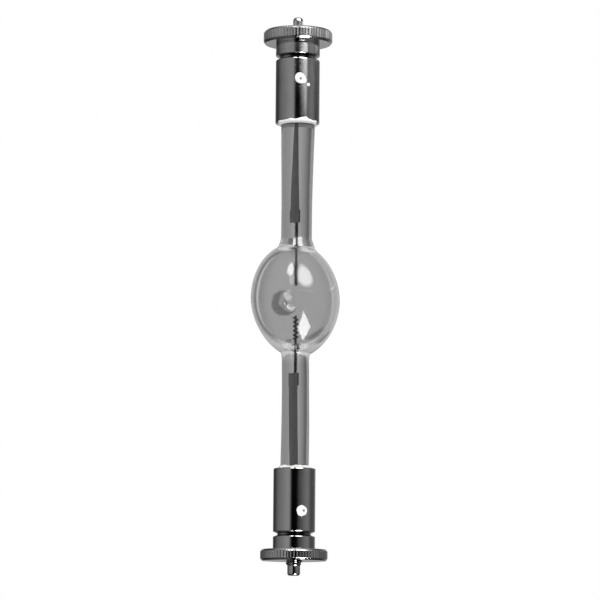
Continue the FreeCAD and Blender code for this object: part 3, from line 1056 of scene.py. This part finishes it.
def make_coil(name, end):
    """Tungsten wire wound tightly on the rod, its ends tucked against it."""
    side = end["side"]
    wire, pitch = end["coil_wire_radius"], end["coil_pitch"]
    per_turn, sides = 36, 12
    rings = []
    for step in range(per_turn * end["coil_turns"] + 1):
        angle = 2 * math.pi * step / per_turn
        slack = 1 + 0.06 * noise.noise(Vector((step * 0.05, 0, side)))
        outward = Vector((math.cos(angle), math.sin(angle), 0))
        centre = outward * (ROD_RADIUS + wire) * slack
        centre.z = COIL_START + pitch * step / per_turn
        ring = []
        for k in range(sides):
            a = 2 * math.pi * k / sides
            point = centre + (outward * math.cos(a) + Vector((0, 0, math.sin(a)))) * wire
            ring.append(tuple(point))
        rings.append(mirrored(ring, side))
    vertices, faces = ring_surface(rings)
    item = mesh_object(f"{name}_wound_wire", vertices, faces)
    lamp_piece(item, "lamp", "tungsten", f"{name}_electrode_coil")


def dress_cad_nodes():
    """Gives each CAD node that stays its procedural material."""
    for name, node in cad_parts.items():
        for part, slot in KEPT_NODES.items():
            if name.endswith(part):
                node.data.materials.clear()
                node.data.materials.append(MATERIALS[slot])
                for face in node.data.polygons:
                    face.material_index = 0


# Stage


def emission_material(name):
    """Gives out the light that each vertex has in the glow attribute."""
    material, tree, shader = new_material(name)
    tree.nodes.remove(shader)
    emission = tree.nodes.new("ShaderNodeEmission")
    tree.links.new(add_attribute(tree, "glow"), emission.inputs["Strength"])
    surface = tree.nodes["Material Output"].inputs["Surface"]
    tree.links.new(emission.outputs["Emission"], surface)
    material.cycles.emission_sampling = "NONE"
    return material


def inside_card(azimuth, elevation):
    """One on the low card and none off it, with a soft edge."""
    down = np.tan(np.radians(np.clip(-elevation, LOW_CARD_DIP, 89.9)))
    reach = -DOME_LOW / down
    x, y = reach * np.sin(np.radians(azimuth)), -reach * np.cos(np.radians(azimuth))
    inside = np.full_like(x, 1e9)
    for (ax, ay), (bx, by) in zip(LOW_CARD, LOW_CARD[1:] + LOW_CARD[:1]):
        length = math.hypot(bx - ax, by - ay)
        inside = np.minimum(inside, ((bx - ax) * (y - ay) - (by - ay) * (x - ax)) / length)
    edge = 0.01 + 0.05 * reach
    return np.where(elevation < -LOW_CARD_DIP, np.clip(inside / edge, 0, 1), 0.0)


def blob(azimuth, elevation, place):
    """A round, soft-edged spot of the place's level."""
    middle = place["middle"]
    rise = elevation - middle[1]
    tall = np.where(rise < 0, place["down"], place["up"])
    out = np.hypot((azimuth - middle[0]) / place["across"], rise / tall)
    return place["level"] * smooth((1 - out) / 0.5)


def strip_glow(azimuth, elevation):
    """The lit strip of wall on the right that the upper ferrule reflects."""
    start = at(elevation, STRIP_START)
    full = at(elevation, STRIP_FULL)
    rise = np.clip((azimuth - start) / (full - start), 0, 1)
    return at(elevation, STRIP) * rise * np.clip((STRIP_END - azimuth) / STRIP_FADE, 0, 1)


def mirror_glow(azimuth, elevation):
    """What metal and glass reflect: grey walls, a ceiling, soft lights and a low card."""
    walls = at(azimuth + at(elevation, ROOM_TURN), ROOM) * at(elevation, ROOM_DIMMING)
    ceiling = np.interp(elevation, CEILING_HEIGHTS, (0, 1))
    glow = walls * (1 - ceiling) + CEILING * ceiling
    low, high = RIM_HEIGHTS
    glow = np.where((elevation > low) & (elevation < high), at(azimuth, RIM_ROOM), glow)
    glow = np.maximum(glow, strip_glow(azimuth, elevation))
    for light in SOFT_LIGHTS:
        glow = glow + blob(azimuth, elevation, light)
    return glow + LOW_CARD_LEVEL * inside_card(azimuth, elevation)


def through_glow(azimuth, elevation):
    """What shows through the glass: white, with dark stands far back on both sides."""
    glow = 1 - (1 - at(azimuth, BEHIND)) * between(elevation, *BEHIND_HEIGHTS, 20)
    for place in DARK_PLACES:
        glow = glow * (1 - blob(azimuth, elevation, place))
    return glow


def make_dome(name, glow):
    """A dome round the lamp, flat underneath so that it stays above the floor."""
    azimuths, elevations = np.meshgrid(
        np.linspace(-180, 180, DOME_COLUMNS, endpoint=False),
        np.concatenate([np.linspace(*rows) for rows in DOME_ROWS]),
    )
    a, e = np.radians(azimuths), np.radians(elevations)
    out = np.stack([np.sin(a) * np.cos(e), -np.cos(a) * np.cos(e), np.sin(e)], 2)
    points = DOME_RADIUS * out
    points *= np.minimum(1, DOME_LOW / np.minimum(points[:, :, 2:], -1e-6))
    vertices, faces = ring_surface(points.tolist())
    dome = mesh_object(name, vertices, faces)
    store(dome, "glow", glow(azimuths, elevations).ravel())
    dome.data.materials.append(emission_material(name))
    dome.visible_camera = False
    dome.visible_diffuse = False
    dome.visible_shadow = False
    dome.visible_volume_scatter = False
    return dome


def make_room():
    make_dome("studio_reflected", mirror_glow).visible_transmission = False
    make_dome("studio_through_glass", through_glow).visible_glossy = False


def bright_to(tree, level):
    """One for camera, mirror and glass rays and a lower level for the rest."""
    path = tree.nodes.new("ShaderNodeLightPath").outputs
    seen = add_math(tree, "MAXIMUM", path["Is Camera Ray"], path["Is Glossy Ray"])
    clear = add_math(tree, "MAXIMUM", seen, path["Is Transmission Ray"])
    return add_range(tree, clear, 0, 1, level, 1)


def make_world():
    """White all round, and dimmer for matt surfaces than for mirrors and glass."""
    world = bpy.data.worlds.new("studio")
    world.use_nodes = True
    scene.world = world
    background = world.node_tree.nodes["Background"]
    background.inputs["Color"].default_value = grey(1)
    level = bright_to(world.node_tree, WORLD_LEVEL)
    world.node_tree.links.new(level, background.inputs["Strength"])


def make_floor():
    """A plain pale floor far below the lamp."""
    corners = [
        (x * FLOOR_SIZE, y * FLOOR_SIZE, FLOOR_HEIGHT)
        for x, y in ((-1, -1), (1, -1), (1, 1), (-1, 1))
    ]
    floor = mesh_object("floor", corners, [(0, 1, 2, 3)])
    material, tree, shader = new_material("floor")
    shader.inputs["Base Color"].default_value = grey(0.9)
    shader.inputs["Roughness"].default_value = 0.9
    shader.inputs["Specular IOR Level"].default_value = 0.1
    shader.inputs["Emission Color"].default_value = grey(1)
    lift = add_math(tree, "MULTIPLY", bright_to(tree, 0.0), FLOOR_GLOW)
    tree.links.new(lift, shader.inputs["Emission Strength"])
    floor.data.materials.append(material)


def make_light(name, azimuth, elevation, width, height, power):
    """An area light that points at the lamp and doesn't show in mirrors or through glass."""
    data = bpy.data.lights.new(name, "AREA")
    data.shape = "RECTANGLE"
    data.size = width
    data.size_y = height
    data.energy = power
    item = bpy.data.objects.new(name, data)
    place = direction(azimuth, elevation) * LIGHT_DISTANCE
    item.location = place
    item.rotation_euler = (-place).to_track_quat("-Z", "Y").to_euler()
    item.visible_glossy = False
    item.visible_transmission = False
    scene.collection.objects.link(item)


def make_camera():
    """The photograph's view: from a little below, tilted up and rolled by a fraction."""
    data = bpy.data.cameras.new("camera")
    data.sensor_width = CAMERA_SENSOR
    data.lens = CAMERA_LENS
    data.clip_start = 0.01
    data.clip_end = 100
    item = bpy.data.objects.new("camera", data)
    pitch, roll = math.radians(90 + CAMERA_PITCH), math.radians(CAMERA_ROLL)
    turn = Matrix.Rotation(pitch, 4, "X") @ Matrix.Rotation(roll, 4, "Z")
    place = Matrix.Translation((CAMERA_RIGHT, -CAMERA_DISTANCE, CAMERA_HEIGHT))
    item.matrix_world = place @ turn
    scene.collection.objects.link(item)
    scene.camera = item


make_envelope()
for end_name, end_values in ENDS.items():
    make_ferrule(end_name, end_values)
    make_nut(end_name, end_values)
    make_coil(end_name, end_values)
for end_name, end_values in ENDS.items():
    make_collar(end_name, end_values)
make_hole_cement()
dress_cad_nodes()

make_world()
make_floor()
make_room()
make_light("key_right", azimuth=38, elevation=42, width=0.2, height=0.3, power=2.4)
make_light("key_left", azimuth=-24, elevation=52, width=0.14, height=0.14, power=1.2)
make_light("fill_low", azimuth=12, elevation=-17, width=0.3, height=0.1, power=1.2)
make_camera()
scene.view_settings.view_transform = "Standard"
